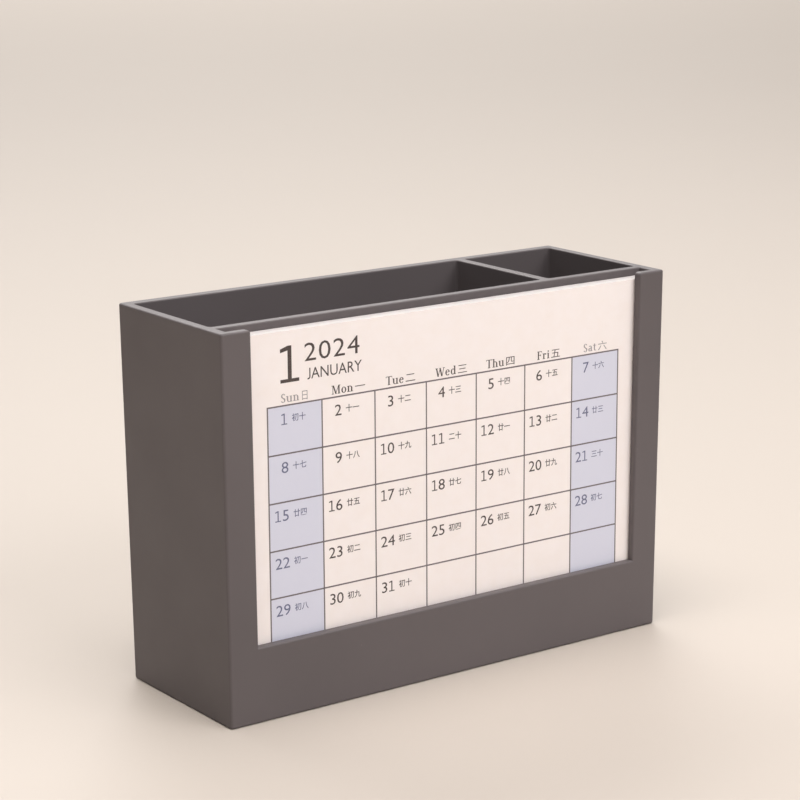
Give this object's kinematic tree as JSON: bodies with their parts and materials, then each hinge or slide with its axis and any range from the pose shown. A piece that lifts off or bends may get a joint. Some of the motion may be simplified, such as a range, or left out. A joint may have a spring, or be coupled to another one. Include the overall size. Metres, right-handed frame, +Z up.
{
  "type": "desk organiser with card calendar",
  "caption": "Two-compartment desk pen box with a front slot behind a U-shaped window frame, holding a stack of lift-out month cards.",
  "frame": {"origin": "centre of the footprint, on the surface that the holder stands on", "axes": "+Z up, the card window faces -Y, +X along the width towards the small compartment"},
  "size_m": [0.155, 0.0542, 0.1105],
  "materials": {
    "holder_plastic": "satin warm-grey moulded plastic with a fine even texture",
    "card_board": "uncoated heavy paper board, warm white"
  },
  "bodies": {
    "holder": {"holder_body": "holder_plastic"},
    "card_january": {"card_january": "card_board"},
    "card_february": {"card_february": "card_board"},
    "card_march": {"card_march": "card_board"},
    "card_april": {"card_april": "card_board"},
    "card_may": {"card_may": "card_board"},
    "card_june": {"card_june": "card_board"},
    "card_july": {"card_july": "card_board"},
    "card_august": {"card_august": "card_board"},
    "card_september": {"card_september": "card_board"},
    "card_october": {"card_october": "card_board"},
    "card_november": {"card_november": "card_board"},
    "card_december": {"card_december": "card_board"}
  },
  "joints": [
    {"name": "card_january_lift", "type": "slide", "parent": "holder", "child": "card_january", "axis": [0, 0, 1], "range_m": [0, 0.11]},
    {"name": "card_february_lift", "type": "slide", "parent": "holder", "child": "card_february", "axis": [0, 0, 1], "range_m": [0, 0.11]},
    {"name": "card_march_lift", "type": "slide", "parent": "holder", "child": "card_march", "axis": [0, 0, 1], "range_m": [0, 0.11]},
    {"name": "card_april_lift", "type": "slide", "parent": "holder", "child": "card_april", "axis": [0, 0, 1], "range_m": [0, 0.11]},
    {"name": "card_may_lift", "type": "slide", "parent": "holder", "child": "card_may", "axis": [0, 0, 1], "range_m": [0, 0.11]},
    {"name": "card_june_lift", "type": "slide", "parent": "holder", "child": "card_june", "axis": [0, 0, 1], "range_m": [0, 0.11]},
    {"name": "card_july_lift", "type": "slide", "parent": "holder", "child": "card_july", "axis": [0, 0, 1], "range_m": [0, 0.11]},
    {"name": "card_august_lift", "type": "slide", "parent": "holder", "child": "card_august", "axis": [0, 0, 1], "range_m": [0, 0.11]},
    {"name": "card_september_lift", "type": "slide", "parent": "holder", "child": "card_september", "axis": [0, 0, 1], "range_m": [0, 0.11]},
    {"name": "card_october_lift", "type": "slide", "parent": "holder", "child": "card_october", "axis": [0, 0, 1], "range_m": [0, 0.11]},
    {"name": "card_november_lift", "type": "slide", "parent": "holder", "child": "card_november", "axis": [0, 0, 1], "range_m": [0, 0.11]},
    {"name": "card_december_lift", "type": "slide", "parent": "holder", "child": "card_december", "axis": [0, 0, 1], "range_m": [0, 0.11]}
  ]
}
